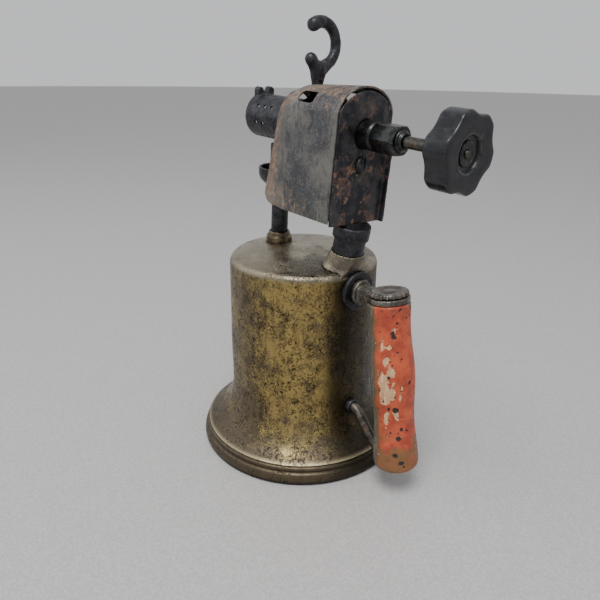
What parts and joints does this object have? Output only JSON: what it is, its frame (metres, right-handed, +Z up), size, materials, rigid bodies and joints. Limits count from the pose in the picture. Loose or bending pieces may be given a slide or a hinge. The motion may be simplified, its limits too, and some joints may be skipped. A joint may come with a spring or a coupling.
{
  "type": "liquid-fuel blow torch",
  "caption": "Quart blow torch with a bell-footed brass tank, hooded burner, needle valve, soldering-iron hook and a red wooden handle that holds the air pump.",
  "frame": {"origin": "centre of the base ring, on the surface the torch stands on", "axes": "+Z up the tank's axis; -X where the muzzle points, +X towards the valve knob and handle; +Y completes the right hand"},
  "size_m": [0.1879, 0.1404, 0.2757],
  "materials": {
    "aged_brass": "mottled old brass, dark patina over worn gold",
    "old_brass": "dull brown brass",
    "brass_fittings": "plain machined brass",
    "leather": "oiled leather",
    "black_iron": "blued black cast iron",
    "wick_cotton": "twisted cotton",
    "hood_steel": "heat-blued sheet steel with light rust",
    "plate_steel": "black sheet steel with rust patches",
    "grey_steel": "dull dark grey steel",
    "graphite": "graphited packing",
    "stem_steel": "dull grey-brown steel",
    "knob_plastic": "black moulded plastic, greyed at the rim",
    "bracket_iron": "worn grey-brown iron",
    "painted_wood": "chipped red paint over cream primer and bare wood",
    "rod_steel": "plain steel",
    "tube_steel": "dull dark steel"
  },
  "bodies": {
    "torch": {"tank_shell": "aged_brass", "tank_bottom": "old_brass", "filler_boss": "brass_fittings", "feed_collar": "old_brass", "feed_pipe": "black_iron", "feed_wick": "wick_cotton", "neck_bush": "aged_brass", "burner_neck": "black_iron", "burner_casting": "black_iron", "gas_jet": "brass_fittings", "burner_tube": "black_iron", "iron_hook": "black_iron", "hood_shell": "hood_steel", "rear_plate": "plate_steel", "plate_screw": "plate_steel", "priming_cup": "black_iron", "valve_bonnet": "grey_steel", "valve_packing": "graphite", "packing_nut": "grey_steel", "bracket_pad": "black_iron", "handle_bracket": "bracket_iron", "handle_grip": "painted_wood", "pump_barrel": "brass_fittings", "pump_gland": "old_brass", "barrel_foot": "old_brass", "air_tube": "tube_steel", "check_body": "black_iron", "check_spring": "rod_steel", "check_cage": "brass_fittings"},
    "filler_carrier": {"filler_washer": "leather"},
    "filler_screw": {"filler_plug": "brass_fittings"},
    "needle": {"valve_stem": "stem_steel"},
    "knob": {"valve_knob": "knob_plastic", "knob_ring": "grey_steel"},
    "plunger": {"pump_rod": "rod_steel", "pump_button": "bracket_iron", "plunger_leather": "leather", "plunger_washer": "brass_fittings", "plunger_nut": "brass_fittings"},
    "ball": {"check_ball": "rod_steel"}
  },
  "joints": [
    {"name": "valve_travel", "type": "slide", "parent": "torch", "child": "needle", "axis": [0.999, 0, -0.0436], "range_m": [0, 0.0024]},
    {"name": "valve_turn", "type": "hinge", "parent": "needle", "child": "knob", "pos_m": [0.10394, 0, 0.21198], "axis": [0.999, 0, -0.0436], "range_deg": [0, 540]},
    {"name": "filler_travel", "type": "slide", "parent": "torch", "child": "filler_carrier", "axis": [0, 0, -1], "range_m": [0, 0.0075]},
    {"name": "filler_turn", "type": "hinge", "parent": "filler_carrier", "child": "filler_screw", "pos_m": [0, 0, 0.018], "axis": [0, 0, -1], "range_deg": [0, 1800]},
    {"name": "pump_stroke", "type": "slide", "parent": "torch", "child": "plunger", "axis": [-0.1444, 0, 0.9895], "range_m": [0, 0.058]},
    {"name": "check_lift", "type": "slide", "parent": "torch", "child": "ball", "axis": [0, 0, 1], "range_m": [0, 0.002], "stiffness_N_per_m": 20, "springref_m": -0.002}
  ],
  "couplings": [
    {"joint": "valve_turn", "follows": "valve_travel", "rad_per_m": 3927},
    {"joint": "filler_turn", "follows": "filler_travel", "rad_per_m": 4188.8}
  ]
}
